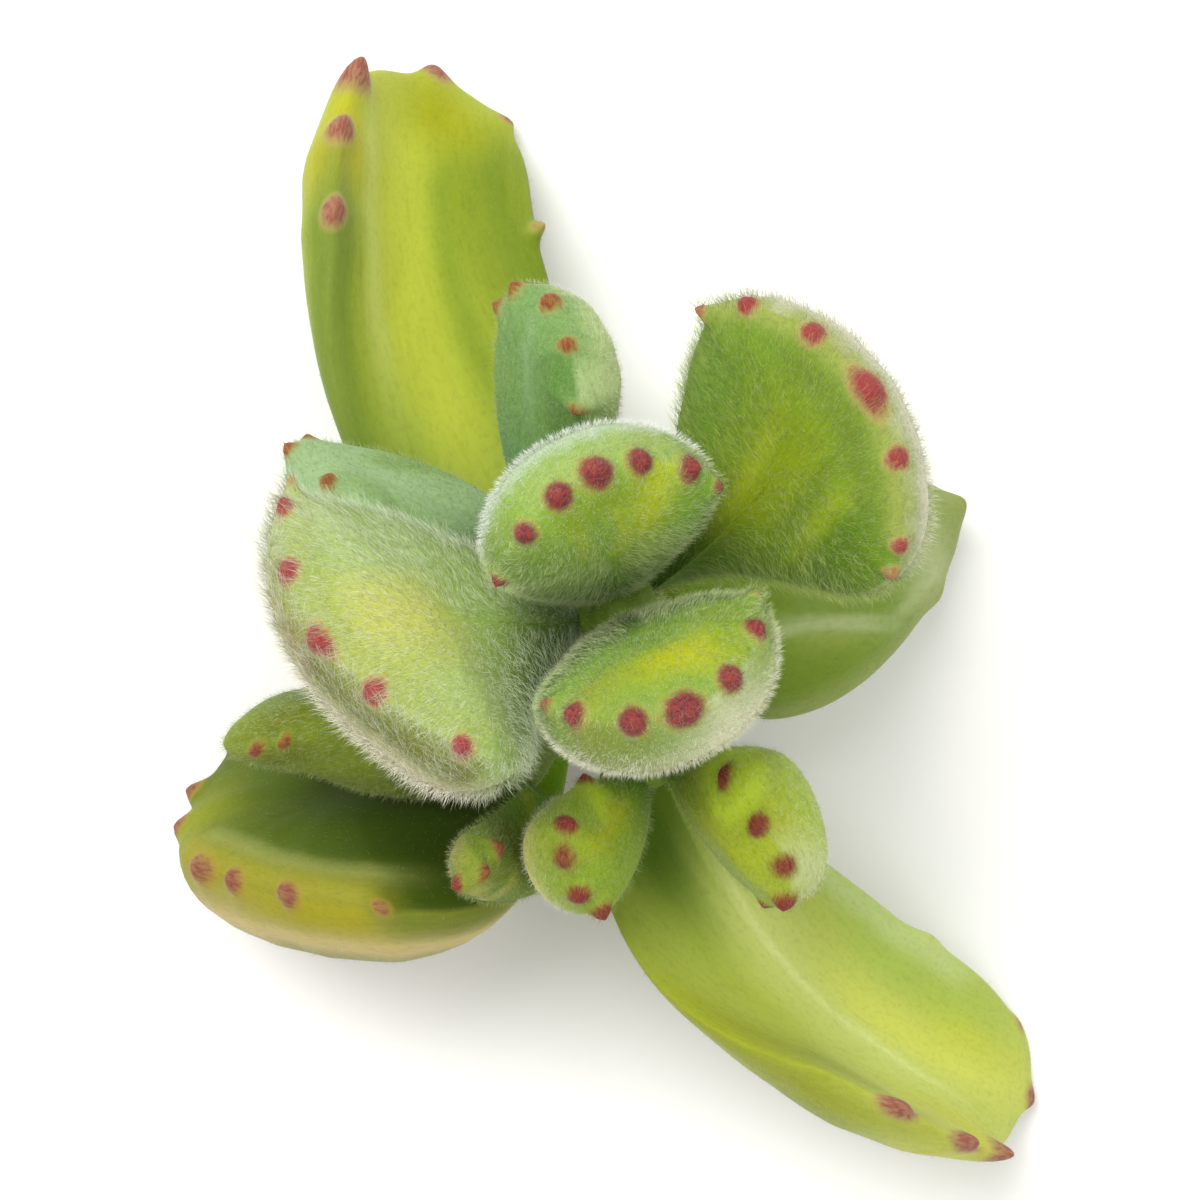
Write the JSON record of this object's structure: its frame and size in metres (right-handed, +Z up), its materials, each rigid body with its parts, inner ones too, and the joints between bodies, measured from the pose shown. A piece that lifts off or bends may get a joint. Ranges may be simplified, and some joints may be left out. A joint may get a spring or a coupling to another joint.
{
  "type": "bears paw succulent",
  "caption": "Variegated bears paw succulent cut at the stem: fleshy hairy leaves in crossed pairs, with blunt teeth round the leaf ends and young shoots in the lower leaf axils.",
  "frame": {"origin": "on the ground the cut plant stands on, under the middle of its outline seen from above", "axes": "+Z up along the stem, +Y towards the long leaf at the back, +X to the right of it"},
  "size_m": [0.0706, 0.0896, 0.0518],
  "materials": {
    "crown_leaf": "fleshy green leaf with yellow patches under dense white hair",
    "second_leaf": "fleshy green leaf with lime yellow streaks under dense white hair",
    "third_leaf": "fleshy leaf striped green and yellow lengthwise, satin under short hair",
    "fourth_leaf": "fleshy dark green leaf with a yellow green margin, satin under short hair",
    "young_leaf": "small fleshy mint to grass green leaf under short white hair",
    "stem": "green brown hairy stem, pale where it is cut",
    "hair": "fine white to cream hair"
  },
  "bodies": {
    "root": {"main_stem": "stem", "crown_leaf_back": "crown_leaf", "crown_leaf_front": "crown_leaf", "second_leaf_right": "second_leaf", "second_leaf_left": "second_leaf", "third_leaf_back": "third_leaf", "third_leaf_front": "third_leaf", "fourth_leaf_left": "fourth_leaf", "fourth_leaf_right": "fourth_leaf", "back_shoot_leaf_right": "young_leaf", "back_shoot_leaf_left": "young_leaf", "front_shoot_leaf_left": "young_leaf", "front_shoot_leaf_right": "young_leaf", "left_shoot_leaf_back": "young_leaf", "left_shoot_leaf_front": "young_leaf"}
  },
  "joints": []
}
